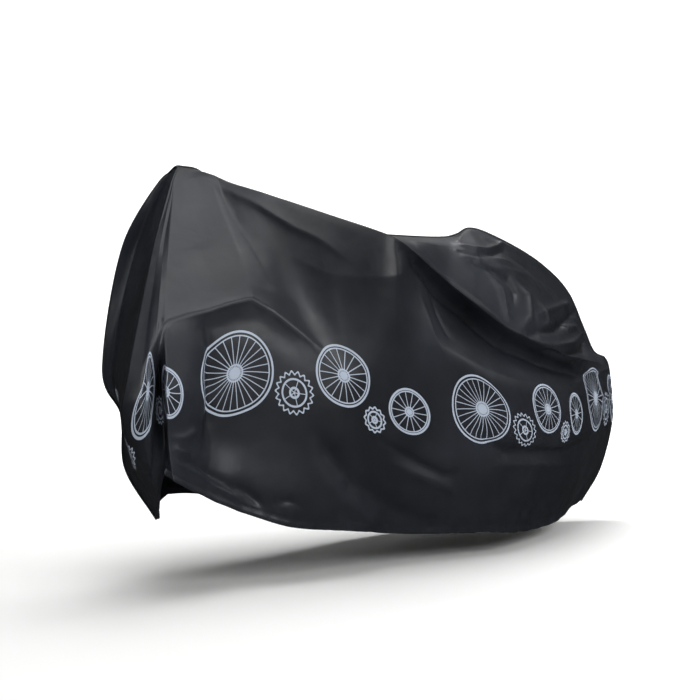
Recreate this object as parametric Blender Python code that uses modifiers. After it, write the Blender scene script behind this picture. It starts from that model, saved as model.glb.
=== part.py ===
"""Bicycle cover of thin film, draped, in the shape it takes over a bicycle.

Two film panels are welded along one centre seam, which runs from the front hem up over the front,
along the top and down the rear. Each panel is a sheet laid through ribs: guide lines that start at
the seam and run down to the hem. Folds are then raised or sunk along their own lines.

Tables are in centimetres: X to the rear, Y to the right side, Z above the floor.
The part's origin lies under its top point, where the cover rests.
"""

from typing import NamedTuple

import bpy
import numpy as np

CM = 0.01
SHEET = 0.0016            # thickness of the film as modelled
SEAM_GAP = 0.0010         # clear gap between the two seam allowances
SEAM_ALLOWANCE = 0.006    # width of the outward-turned seam edge
SEAM_SPREAD = 0.030       # length over which a panel leaves the seam's side
SEAM_SMOOTHING = 4        # rounds of smoothing of the seam edge's direction
HEM_BAND = 0.052          # height of the elastic hem
HEM_DRAW = 0.012          # how far the elastic draws the hem in
RUFFLE = 0.0030           # height of the hem's ruffles
RUFFLE_PITCH = 0.088      # spacing of the hem's ruffles
HEM_FADE = 0.55           # length from each end of the hem over which its draw and ruffles grow
COLUMN_STEP = 0.030       # spacing of mesh columns along the panel
CRISP_ALONG = 0.35        # how straight a guide line runs from rib to rib, 0 to 1
CRISP_DOWN = 0.70         # how straight a rib runs from level to level, 0 to 1
RUFFLE_DRIFT = 1.3        # how far the ruffles wander along the hem, radians
RUFFLE_WANDER = 7.1       # how fast they wander, radians per metre
RUFFLE_SWELL = 4.3        # how fast their height grows and falls, radians per metre
RUFFLE_LEAST = 0.30       # their least height, as a share of the greatest
END_EASE = 0.15           # length from each end of a panel over which its ribs gain their straightness
EDGE_FADE = 0.035         # distance from the seam over which the folds grow
SIDEWAYS = 0.4            # how much a point's Y counts in its distance from a fold's line
REST = (-36.5, 14.5, 102.5)   # point under the top that the cover rests on, cm

FILM_LEFT = (0.024, 0.025, 0.029, 1.0)
FILM_RIGHT = (0.022, 0.023, 0.027, 1.0)

LEVELS = (0.0, 0.10, 0.20, 0.30, 0.44, 0.60, 0.80, 1.0)
ROWS = (3, 3, 4, 4, 3, 4, 4)


class Rib(NamedTuple):
    """One guide line from the seam down to the hem; points in cm."""

    name: str
    seam: tuple
    dome: tuple
    crest: tuple
    gully: tuple
    crease: tuple
    band: tuple
    knee: tuple
    hem: tuple


class Fold(NamedTuple):
    """A ridge (height above 0) or valley (below 0) along (x, y, z, height) points; all in cm."""

    name: str
    width: float
    sharp: float
    path: tuple


LEFT_RIBS = (
    Rib("front_seam", (-39.5, 18.75, 103.5), (-40, 19.25, 102.75), (-41.75, 20, 101.25),
        (-51.5, 22, 85.5), (-62, 16, 51), (-59.5, 12, 42.5), (-60.5, 8.5, 29), (-54, 4.5, 16)),
    Rib("wing_fold", (-39, 18.5, 104.25), (-40, 17.5, 103.25), (-41.75, 18.5, 101),
        (-48, 22, 85.5), (-62, 12.5, 52), (-62.5, 6, 42), (-62.5, 2, 29.5), (-56, 0.5, 17)),
    Rib("front_ridge", (-38.25, 18, 104.75), (-39.5, 17, 103.25), (-41.75, 15.75, 100.75),
        (-52.5, 7.5, 84.5), (-71.5, -9, 54), (-75, -12, 44.5), (-67.5, -7.5, 30.5),
        (-59.5, -4.5, 18.5)),
    Rib("front_face", (-37.25, 17.5, 104.75), (-38.75, 16.5, 103.25), (-41.25, 15, 100.75),
        (-52.5, 6, 84.5), (-69.5, -12.5, 56), (-72.5, -17, 45), (-69.5, -15.5, 32.5),
        (-65, -13, 22.5)),
    Rib("pleat", (-36.25, 17, 104.25), (-38, 16, 103.25), (-40.5, 14.5, 100.75), (-52, 4.5, 84),
        (-64.5, -10.5, 62), (-62.5, -9.5, 49.5), (-65.5, -15.5, 36.5), (-68, -18, 31)),
    Rib("wheel_edge", (-35, 16.25, 104), (-36.75, 15.25, 103), (-39.5, 14.25, 100.75),
        (-51.5, 2.5, 83.5), (-62.5, -11, 65), (-67, -18, 49), (-67, -19, 37.5), (-66.5, -21, 29.5)),
    Rib("wheel_side", (-33.75, 15, 103.25), (-34, 13.75, 102.75), (-33.75, 12.75, 101.75),
        (-43.5, -1.5, 82.5), (-51, -13, 68), (-51, -13.5, 50), (-51, -13.5, 34.5), (-55, -18, 24)),
    Rib("wheel_top", (-29.5, 12, 99), (-31, 12, 102.5), (-31, 10.5, 101.5), (-35.5, -4, 84),
        (-39, -15, 71), (-41, -16, 52), (-42, -16, 34), (-44.5, -18, 19.5)),
    Rib("wheel_rear", (-22.5, 9, 95), (-24.5, 3, 96.5), (-25, -2.5, 97.5), (-27.5, -10, 83),
        (-29, -19.5, 63.5), (-30, -21, 47), (-31, -20.5, 31), (-32.5, -21, 15)),
    Rib("bar_hang", (-12, 4.5, 91.5), (-14, -6, 91.5), (-16, -16.5, 92), (-17.5, -20, 76.5),
        (-17.5, -25, 51), (-18.5, -25.5, 42), (-18, -24.5, 29), (-15.5, -22, 12)),
    Rib("grip_hang", (6, 1, 88.5), (1, -16, 87), (-5.5, -30, 86), (-6, -30.5, 76.5),
        (-5, -28.5, 57.5), (-4.5, -27, 42.5), (-1, -24.5, 28), (4.5, -21.5, 9)),
    Rib("seat_front", (24, 0, 87.5), (10.5, -20.5, 85.5), (8, -25, 81), (10, -22.5, 77.5),
        (7.5, -30.5, 58.5), (11, -30, 44), (15.5, -27.5, 28), (25, -24, 7)),
    Rib("seat_mid", (45.5, 0, 88), (30, -15, 84.5), (20.5, -22.5, 75.5), (21, -19, 71),
        (15, -31, 56), (19.5, -31, 43), (24, -29.5, 28), (33, -25.5, 6.5)),
    Rib("seat_rear", (53, 0, 90), (42.5, -13, 84.5), (29.5, -24, 69.5), (31.5, -19, 64.5),
        (25, -32, 52), (30, -32.5, 41.5), (35, -30, 27), (42.5, -26, 5.5)),
    Rib("dome_front", (66.5, 0, 87), (52, -13, 80.5), (40, -27, 62), (41.5, -21.5, 57.5),
        (38, -31.5, 48.5), (44, -31.5, 39.5), (50, -27.5, 25), (59, -20.5, 4)),
    Rib("dome_mid", (86, 0.5, 80), (70, -11, 74), (58, -25.5, 56.5), (62, -21, 51.5),
        (59, -27.5, 45), (61, -28.5, 36.5), (65.5, -24, 22), (71, -17, 4)),
    Rib("dome_rear", (98, 0.5, 71), (88.5, -7, 64.5), (75.5, -21, 53), (80.5, -17, 48),
        (78.5, -21, 41.5), (79, -21.5, 34), (81, -18, 19.5), (85, -9.5, 4.5)),
    Rib("tail_side", (105.5, 0.5, 60), (99.5, -5, 56), (89.5, -15, 51), (93.5, -12.5, 46),
        (93, -14.5, 40), (94, -14.5, 32.5), (95, -10, 18), (95, -3.5, 5)),
    Rib("tail_end", (111.5, 0.5, 52.5), (108, -3, 51), (104, -7.5, 49.5), (105.5, -7.5, 44.5),
        (106, -8, 39), (106.5, -7.5, 31.5), (105, -4.5, 16.5), (100, -1.5, 5.5)),
    Rib("rear_seam", (115.5, -0.5, 50.5), (117, -0.5, 49), (118, 0, 46.5), (118.5, 0, 43),
        (119.5, 0, 37.5), (119.5, 0, 30), (113.5, 0, 15.5), (103.5, -0.5, 6)),
)

RIGHT_RIBS = (
    Rib("front_seam", *LEFT_RIBS[0][1:]),
    Rib("front_face", (0, 0, 0), (-36.5, 17.5, 103), (-37.5, 21.5, 101), (-46.5, 26.5, 84),
        (-53, 25, 55), (-53.5, 21.5, 42), (-53, 18.5, 29), (-49, 13, 17)),
    Rib("wheel_side", (0, 0, 0), (-34, 17, 101), (-34.5, 20.5, 99), (-40, 27.5, 82),
        (-43.5, 28.5, 58), (-44, 27, 44), (-43, 24, 31), (-40.5, 19, 19.5)),
    Rib("wheel_rear", (0, 0, 0), (-23.5, 15, 94.5), (-24.5, 20.5, 91.5), (-27, 28, 77),
        (-29, 31, 57), (-29.5, 29.5, 43), (-28, 27, 29), (-25.5, 22.5, 17.5)),
    Rib("grip_hang", (0, 0, 0), (5, 8.5, 87), (3, 15.5, 83.5), (1, 25, 71),
        (-1, 29.5, 54), (-0.5, 29, 41), (1, 27.5, 26), (4, 23.5, 10)),
    Rib("seat_front", (0, 0, 0), (24, 7.5, 86), (23.5, 14.5, 82), (22.5, 24, 70),
        (22, 30, 53.5), (23, 30, 41), (24.5, 28, 25), (27, 24.5, 6)),
    Rib("dome_front", (0, 0, 0), (60, 8.5, 84.5), (56, 15, 80), (53, 22.5, 69),
        (50, 28, 53), (50.5, 29, 40), (53, 27, 24), (56, 22.5, 4)),
    Rib("dome_mid", (0, 0, 0), (78.5, 7, 77.5), (73.5, 12.5, 73), (69, 19.5, 62.5),
        (66, 25, 49), (67, 25.5, 37), (69, 22, 22), (72, 17, 4.5)),
    Rib("dome_rear", (0, 0, 0), (92, 6, 69), (88, 10.5, 64.5), (85, 16, 55.5),
        (83.5, 20.5, 44.5), (84, 20.5, 34), (85, 17, 20), (86.5, 10, 5)),
    Rib("tail_side", (0, 0, 0), (102.5, 3.5, 57.5), (99.5, 7.5, 54), (98, 12, 48),
        (96.5, 15, 40), (96.5, 14.5, 32), (96, 10.5, 18), (95, 5, 5.5)),
    Rib("rear_seam", *LEFT_RIBS[-1][1:]),
)

LEFT_FOLDS = (
    Fold("bar_crease", 2.2, 1, ((-34, 7.5, 99.5, 0.3), (-35, 3, 93, 1.2), (-36.5, -6.5, 82.5, 1.5),
        (-38, -14, 71.5, 1.2))),
    Fold("bar_swell", 2.6, 1.4, ((-33.5, 7.5, 99, 0.2), (-27, 0, 95.5, 0.7),
        (-21.5, -10, 88.5, 0.8), (-15, -20, 81, 0.2))),
    Fold("wheel_arc", 2.4, 1, ((-61.5, -11, 65.5, 1), (-56.5, -11, 66.5, 1.6),
        (-50.5, -12.5, 68.5, 1.8), (-39, -15, 71, 2.2), (-33.5, -17, 67.5, 1.9),
        (-29.5, -19.5, 63.5, 1.6), (-20, -23.5, 55, 1), (-14.5, -26, 48, 0))),
    Fold("wheel_valley", 2, 1.6, ((-50.5, -12.5, 64.5, -0.4), (-51.5, -13.5, 51.5, -1.1),
        (-52.5, -14.5, 38, -0.9), (-54.5, -17, 31.5, 0))),
    Fold("dome_ridge", 2, 1.1, ((-2, -29.5, 84.5, 0.4), (8, -25, 81, 1.2), (25.5, -23, 72, 1.6),
        (40, -27, 62, 1.8), (58, -25.5, 56.5, 1.6), (91, -14.5, 50.5, 1.2))),
    Fold("grip_valley", 2.6, 1.3, ((-2, -29.5, 82.5, -0.6), (9, -23, 77.5, -2),
        (25, -20, 67.5, -3), (39.5, -23.5, 57.5, -3.2), (59, -23.5, 51, -2.4),
        (77, -20, 47.5, -1.6), (95, -14, 44.5, -0.4))),
    Fold("dome_notch", 1.8, 1.2, ((65, -22, 56.5, -0.4), (80.5, -16, 54.5, -2.2),
        (95, -9, 53.5, -2.2))),
    Fold("crumple_valley", 1.6, 1.2, ((52.5, -24.5, 60, -0.6), (73, -16, 61, -1.5),
        (93, -7, 65.5, -0.8))),
    Fold("crumple_ridge", 1.6, 1.2, ((70.5, -14, 64, 0.6), (81.5, -10.5, 67, 1),
        (92, -6.5, 69, 0.3))),
    Fold("dome_crease", 1.6, 1.2, ((36, -16.5, 80.5, -0.3), (51.5, -16.5, 75, -0.9),
        (51, -20.5, 71.5, -0.4))),
    Fold("arc_swell", 2, 1.3, ((61.5, -5.5, 85.5, 0.4), (75, -4.5, 81.5, 0.7),
        (83.5, -5.5, 76.5, 0.2))),
    Fold("side_smile", 2.6, 1.4, ((20.5, -32, 36.5, 0), (31, -32, 30, -1.3),
        (54, -28.5, 26.5, -1.5), (83.5, -19, 28, -0.3))),
    Fold("side_line", 1.6, 1.1, ((30, -31, 25.5, 0.3), (48.5, -27.5, 24, 1),
        (72, -21.5, 21.5, 0.4))),
    Fold("side_drag", 2.8, 1.4, ((-8, -26.5, 35.5, 0), (3, -27, 30, -1.2), (14.5, -28, 24.5, -1.2),
        (22, -26.5, 23.5, 0))),
    Fold("low_drag", 4.2, 1.6, ((-21, -23, 33, -0.5), (-13.5, -23, 24.5, -1.2),
        (13.5, -23, 10.5, -0.9))),
    Fold("gully_light", 1.6, 1.2, ((2, -30.5, 70, 0.2), (7.5, -30, 62.5, 0.7),
        (11.5, -30.5, 56.5, 0.1))),
    Fold("gully_light_2", 1.6, 1.2, ((11, -27.5, 72, 0.3), (19, -27.5, 65.5, 0.8),
        (22, -29.5, 60, 0.1))),
    Fold("hem_recess", 1.4, 1.3, ((-67, -24.5, 34.5, -0.1), (-63.5, -23.5, 33, -1),
        (-54.5, -20, 29, -1.5), (-49.5, -20, 26.5, -1.3), (-43.5, -23, 22, -1),
        (-33, -25.5, 20.5, -0.3))),
)

RIGHT_FOLDS = (
    Fold("grip_valley", 3, 1.3, ((-10, 25, 80, -0.6), (6, 26, 68, -2), (24, 29, 57, -2.4),
        (46, 29, 49, -1.8), (70, 26, 43, -0.6))),
    Fold("dome_ridge", 2.6, 1.2, ((18, 24, 68, 0.4), (40, 27, 58, 1.8), (66, 24, 54, 2),
        (92, 15, 50, 0.8))),
    Fold("wheel_ridge", 2.6, 1.2, ((-42, 26, 84, 0.4), (-46, 28, 62, 1.3), (-44, 26, 40, 1.2),
        (-38, 20, 22, 0.4))),
    Fold("side_valley", 2.8, 1.4, ((-18, 26, 78, -0.4), (-16, 30, 54, -1.6), (-12, 26, 28, -1.2))),
    Fold("side_swell", 3.4, 1.4, ((-4, 28, 30, 0.3), (18, 29, 25, 1.4), (44, 27, 27, 1.2),
        (70, 23, 31, 0.2))),
)


def smooth_line(keys, points, wanted, crisp=0.0):
    """Points at the wanted places on a line through the given points.

    crisp 0 gives a smooth line and 1 a straight run from point to point.
    """
    keys = np.asarray(keys, float)
    points = np.asarray(points, float)
    steps = np.diff(keys)
    slopes = np.diff(points, axis=0) / steps[:, None]
    tangents = np.empty_like(points)
    tangents[0] = slopes[0]
    tangents[-1] = slopes[-1]
    steep = np.linalg.norm(slopes, axis=1)[:, None] + 1e-9
    tangents[1:-1] = ((slopes[:-1] * steep[1:] + slopes[1:] * steep[:-1])
                      / (steep[:-1] + steep[1:]))
    place = np.clip(np.searchsorted(keys, wanted, side="right") - 1, 0, len(steps) - 1)
    t = ((wanted - keys[place]) / steps[place])[:, None]
    span = steps[place][:, None]
    curved = ((1 + 2 * t) * (1 - t) ** 2 * points[place]
              + t * (1 - t) ** 2 * span * tangents[place]
              + t * t * (3 - 2 * t) * points[place + 1]
              + t * t * (t - 1) * span * tangents[place + 1])
    straight = points[place] + t * (points[place + 1] - points[place])
    return crisp * straight + (1.0 - crisp) * curved


def rib_places(ribs):
    """Each rib's place along the panel: the mean distance from one rib to the next, summed."""
    table = np.array([rib[1:] for rib in ribs], float) * CM
    apart = np.linalg.norm(np.diff(table, axis=0), axis=2).mean(axis=1)
    return np.concatenate(([0.0], np.cumsum(apart)))


def column_places(places):
    """Places of the mesh columns: at least three to each gap between ribs."""
    marks = [places[0]]
    for low, high in zip(places[:-1], places[1:]):
        count = max(3, round((high - low) / COLUMN_STEP))
        marks.extend(low + (high - low) * (k + 1) / count for k in range(count))
    return np.array(marks)


def row_places():
    """Places of the mesh rows, from the seam at 0 to the hem at 1."""
    marks = [LEVELS[0]]
    for low, high, count in zip(LEVELS[:-1], LEVELS[1:], ROWS):
        marks.extend(low + (high - low) * (k + 1) / count for k in range(count))
    return np.array(marks)


def base_grid(ribs, places, seam_line, columns, rows):
    """Grid of points (column, row, xyz) of the panel before its folds."""
    lines = [seam_line]
    for level in range(1, len(LEVELS)):
        guide = np.array([rib[1 + level] for rib in ribs], float) * CM
        lines.append(smooth_line(places, guide, columns, CRISP_ALONG))
    lines = np.array(lines)
    inward = np.minimum(columns, columns[-1] - columns) / END_EASE
    crisp = CRISP_DOWN * np.clip(inward, 0.0, 1.0)
    return np.array([smooth_line(LEVELS, lines[:, k], rows, crisp[k])
                     for k in range(len(columns))])


def grid_normals(grid, side):
    """Unit normals of a grid, pointing out of the cover; side is -1 for left and 1 for right."""
    along = np.gradient(grid, axis=0)
    down = np.gradient(grid, axis=1)
    normals = np.cross(down, along) * -side
    length = np.linalg.norm(normals, axis=2, keepdims=True)
    return normals / np.maximum(length, 1e-9)


def fold_heights(grid, folds):
    """Height of all folds at each grid point, from its distance to each fold's line."""
    total = np.zeros(grid.shape[:2])
    squeeze = np.array([1.0, SIDEWAYS, 1.0])
    for fold in folds:
        path = np.array(fold.path, float) * CM
        nearest = np.full(grid.shape[:2], 1e9)
        height = np.zeros(grid.shape[:2])
        for start, end in zip(path[:-1], path[1:]):
            run = (end[:3] - start[:3]) * squeeze
            gap = (grid - start[:3]) * squeeze
            part = np.clip((gap @ run) / (run @ run), 0.0, 1.0)
            apart = np.linalg.norm(gap - part[..., None] * run, axis=2)
            closer = apart < nearest
            nearest = np.where(closer, apart, nearest)
            height = np.where(closer, start[3] + part * (end[3] - start[3]), height)
        total += height * np.exp(-(nearest / (fold.width * CM)) ** fold.sharp)
    return total


def hem_heights(grid, phase):
    """Inward draw and ruffles of the elastic hem, by distance above the hem."""
    steps = np.linalg.norm(np.diff(grid, axis=1), axis=2)
    above = np.concatenate((np.cumsum(steps[:, ::-1], axis=1)[:, ::-1],
                            np.zeros((len(grid), 1))), axis=1)
    hem = np.linalg.norm(np.diff(grid[:, -1], axis=0), axis=1)
    run = np.concatenate(([0.0], np.cumsum(hem)))
    ends = np.clip(np.minimum(run, run[-1] - run) / HEM_FADE, 0.0, 1.0) ** 2
    drift = RUFFLE_DRIFT * np.sin(RUFFLE_WANDER * run + phase)
    wave = np.sin(2 * np.pi * run / RUFFLE_PITCH + drift)
    middle = 0.5 * (1.0 + RUFFLE_LEAST)
    swell = middle + (1.0 - middle) * np.sin(RUFFLE_SWELL * run + 2.0 * phase)
    near_hem = np.exp(-(above / (1.5 * HEM_BAND)) ** 2)
    draw = -HEM_DRAW * np.exp(-(above / HEM_BAND) ** 2)
    return (RUFFLE * (wave * swell)[:, None] * near_hem + draw) * ends[:, None]


def seam_frame(seam):
    """Unit vectors along the seam edge: outward from the cover, and across it to the right."""
    along = np.gradient(seam, axis=0)
    along /= np.linalg.norm(along, axis=1, keepdims=True)
    for _ in range(SEAM_SMOOTHING):
        along[1:-1] = 0.25 * along[:-2] + 0.5 * along[1:-1] + 0.25 * along[2:]
    along /= np.linalg.norm(along, axis=1, keepdims=True)
    out = np.stack((-along[:, 2], np.zeros(len(seam)), along[:, 0]), axis=1)
    out -= (out * along).sum(axis=1, keepdims=True) * along
    out /= np.linalg.norm(out, axis=1, keepdims=True)
    return out, np.cross(out, along)


def seam_edge(grid):
    """Grid indices of the seam edge: up the first column, along the top, down the last column."""
    columns, rows = grid.shape[:2]
    front = [(0, row) for row in range(rows - 1, 0, -1)]
    top = [(column, 0) for column in range(columns)]
    rear = [(columns - 1, row) for row in range(1, rows)]
    return front + top + rear


def panel_mesh(grid, folds, side, phase):
    """Vertices and faces of one panel: its folded sheet and the turned-out seam allowance."""
    edge = seam_edge(grid)
    seam = np.array([grid[spot] for spot in edge])
    out, across = seam_frame(seam)
    normals = grid_normals(grid, side)
    away = np.full(grid.shape[:2], 1e9)
    for spot in edge:
        away = np.minimum(away, np.linalg.norm(grid - grid[spot], axis=2))
    fade = 1.0 - np.exp(-(away / EDGE_FADE) ** 2)
    heights = (fold_heights(grid, folds) + hem_heights(grid, phase)) * fade
    sheet = grid + normals * heights[..., None]
    shift = side * 0.5 * (SHEET + SEAM_GAP)
    spread = np.exp(-away / SEAM_SPREAD)
    for spot, step in zip(edge, across):
        sheet[spot] = sheet[spot] + step * shift
    sheet[1:-1, 1:, 1] += shift * spread[1:-1, 1:]
    columns, rows = grid.shape[:2]
    points = [tuple(point) for point in sheet.reshape(-1, 3)]
    faces = []
    for column in range(columns - 1):
        for row in range(rows - 1):
            corner = column * rows + row
            faces.append((corner, corner + 1, corner + rows + 1, corner + rows))
    fin_start = len(points)
    for spot, away_out in zip(edge, out):
        points.append(tuple(sheet[spot] + away_out * SEAM_ALLOWANCE))
    for step in range(len(edge) - 1):
        near = edge[step][0] * rows + edge[step][1]
        far = edge[step + 1][0] * rows + edge[step + 1][1]
        faces.append((near, far, fin_start + step + 1, fin_start + step))
    if side > 0:
        faces = [tuple(reversed(face)) for face in faces]
    return points, faces


def film_material(name, colour):
    """Semi-gloss film."""
    material = bpy.data.materials.new(name)
    material.use_nodes = True
    surface = material.node_tree.nodes["Principled BSDF"]
    surface.inputs["Base Color"].default_value = colour
    surface.inputs["Metallic"].default_value = 0.0
    surface.inputs["Roughness"].default_value = 0.42
    return material


def film_panel(name, points, faces, colour, collection):
    """One panel as a closed sheet of the film's thickness."""
    rest = np.array(REST) * CM
    mesh = bpy.data.meshes.new(name)
    mesh.from_pydata([tuple(np.array(point) - rest) for point in points], [], faces)
    mesh.update()
    mesh.shade_smooth()
    panel = bpy.data.objects.new(name, mesh)
    collection.objects.link(panel)
    panel.data.materials.append(film_material(name + "_film", colour))
    shell = panel.modifiers.new("thickness", "SOLIDIFY")
    shell.thickness = SHEET
    shell.offset = 0.0
    shell.use_even_offset = False
    shell.use_rim = True
    return panel


def main():
    for item in list(bpy.data.objects):
        bpy.data.objects.remove(item, do_unlink=True)
    collection = bpy.data.collections.new("bicycle_cover")
    bpy.context.scene.collection.children.link(collection)

    places = rib_places(LEFT_RIBS)
    place_of = dict(zip((rib.name for rib in LEFT_RIBS), places))
    columns = column_places(places)
    rows = row_places()
    seam_line = smooth_line(places, np.array([rib.seam for rib in LEFT_RIBS], float) * CM, columns)

    left = base_grid(LEFT_RIBS, places, seam_line, columns, rows)
    right_places = np.array([place_of[rib.name] for rib in RIGHT_RIBS])
    right = base_grid(RIGHT_RIBS, right_places, seam_line, columns, rows)

    for name, grid, folds, side, phase, colour in (
            ("panel_left", left, LEFT_FOLDS, -1, 0.4, FILM_LEFT),
            ("panel_right", right, RIGHT_FOLDS, 1, 2.1, FILM_RIGHT)):
        points, faces = panel_mesh(grid, folds, side, phase)
        film_panel(name, points, faces, colour, collection)


if __name__ == "__main__":
    main()
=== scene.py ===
"""Bicycle cover of thin black PEVA film with a pale printed band, draped and standing in its folds.

Two film panels are welded along one centre seam. Each one is laid through ribs, guide lines that run
from the seam down to the hem. Its main creases are then raised or sunk along lines of their own, its
hem is drawn in and ruffled, and fine crumples are added.

The tables are in centimetres: X to the rear, Y to the right side, Z above the floor. All else is in
metres, and the frame's origin lies just under the cover's top point.
"""

import logging
import math
from dataclasses import dataclass, field
from enum import Enum
from typing import Any, NamedTuple

import bpy
import numpy as np
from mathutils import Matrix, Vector


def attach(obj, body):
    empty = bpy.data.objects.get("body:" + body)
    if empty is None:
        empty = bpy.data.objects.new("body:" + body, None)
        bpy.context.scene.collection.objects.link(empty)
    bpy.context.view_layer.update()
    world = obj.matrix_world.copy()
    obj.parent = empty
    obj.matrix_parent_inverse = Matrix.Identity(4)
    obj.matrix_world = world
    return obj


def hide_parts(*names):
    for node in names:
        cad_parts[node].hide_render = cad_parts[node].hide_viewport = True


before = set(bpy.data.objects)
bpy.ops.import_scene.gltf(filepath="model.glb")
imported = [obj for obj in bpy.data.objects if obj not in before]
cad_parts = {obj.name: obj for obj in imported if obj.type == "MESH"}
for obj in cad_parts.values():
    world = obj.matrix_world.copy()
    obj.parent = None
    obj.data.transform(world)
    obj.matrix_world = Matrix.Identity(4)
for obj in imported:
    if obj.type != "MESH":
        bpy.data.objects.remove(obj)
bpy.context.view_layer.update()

logging.basicConfig(level=logging.INFO, format="%(name)s: %(message)s")
log = logging.getLogger("bicycle_cover")

CM = 0.01
REST = np.array((-36.5, 14.5, 102.5)) * CM     # the frame's origin, seen from the floor's
LABEL_FLAT = (1.10, 2.00)                      # a panel laid flat: 43.3 in and 200 cm on the label

# A rib's eight points: their places along it from the seam, 0, to the hem, 1, the mesh rows between
# one and the next, and how much of the rib's ridge and arch each of them takes.
LEVELS = (0.0, 0.10, 0.20, 0.30, 0.44, 0.60, 0.80, 1.0)
ROWS = (34, 40, 28, 32, 20, 24, 26)
RIDGE_SHARES = (0.0, 0.3, 1.0, 0.9, 0.0, 0.0, 0.0, 0.0)
ARCH_SHARES = (0.0, 0.0, 0.0, 0.0, 1.0, 0.3, 0.0, 0.0)
CREASE_LEVEL = 4                               # the crease point
BAND_LEVEL = 5                                 # the point in the printed band


class Side(Enum):
    """Which side of the centre seam a panel hangs on; the value is the sign of Y."""

    LEFT = -1
    RIGHT = 1


class Rib(NamedTuple):
    """One guide line from the seam down to the hem; points in cm above the floor.

    Four numbers from 0, smooth, to 1, a straight fold, say how sharply the film folds: high and low
    along the rib, down to its crease point and below it; ridge and arch across it, at its crest and
    at its crease. rise is the height of the print's centre line above the hem, along the film.
    """

    name: str
    high: float
    low: float
    ridge: float
    arch: float
    rise: float
    seam: tuple
    dome: tuple
    crest: tuple
    gully: tuple
    crease: tuple
    band: tuple
    knee: tuple
    hem: tuple

    @property
    def points(self) -> tuple:
        """Its points from the seam down to the hem, one for each of LEVELS."""
        return self[6:]


class Fold(NamedTuple):
    """A ridge, or a valley where its heights are negative; sizes in cm.

    sharp is the profile's power: 1 is a pointed crease and 2 a soft swell. lean narrows one flank and
    widens the other. path holds (x, y, z, height) points.
    """

    name: str
    width: float
    sharp: float
    lean: float
    path: tuple


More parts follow.
